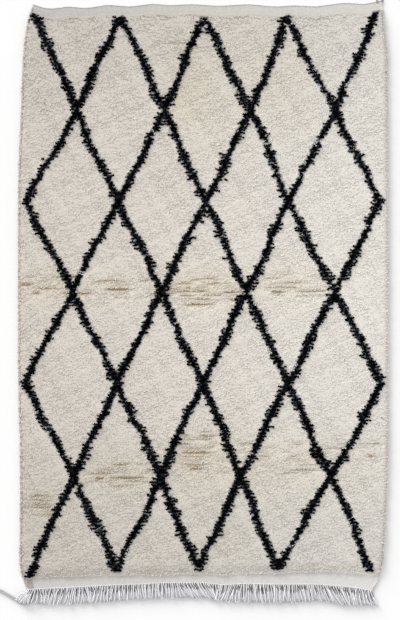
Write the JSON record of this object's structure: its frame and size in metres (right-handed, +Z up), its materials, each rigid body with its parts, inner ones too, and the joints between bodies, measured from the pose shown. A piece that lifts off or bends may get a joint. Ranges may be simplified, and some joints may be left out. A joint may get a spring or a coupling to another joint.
{
  "type": "beni ourain rug",
  "caption": "Hand-knotted wool shag rug with a dark diamond lattice on ivory, plain woven end bands, a warp fringe at one end and a plaited cord at one corner.",
  "frame": {"origin": "on the floor, under the middle of the rug with its fringe", "axes": "+X across the rug to the right as seen from above with the fringe near, +Y along the rug towards the plain end, +Z up out of the pile"},
  "size_m": [1.7951, 2.6005, 0.0216],
  "materials": {
    "pile_wool": "deep hand-spun wool pile, matte, with clipped tuft ends",
    "dark_wool": "deep blue-black dyed wool pile, matte",
    "ground_weave": "plain woven wool bands and ground, fine matte rib",
    "warp_fringe": "loose twisted warp ends, soft matte",
    "plaited_cord": "flat plait of grey-white warp yarn, matte"
  },
  "bodies": {
    "root": {"rug_body": "pile_wool", "fringe": "warp_fringe", "corner_cord": "plaited_cord", "corner_cord_knot": "plaited_cord"}
  },
  "joints": []
}
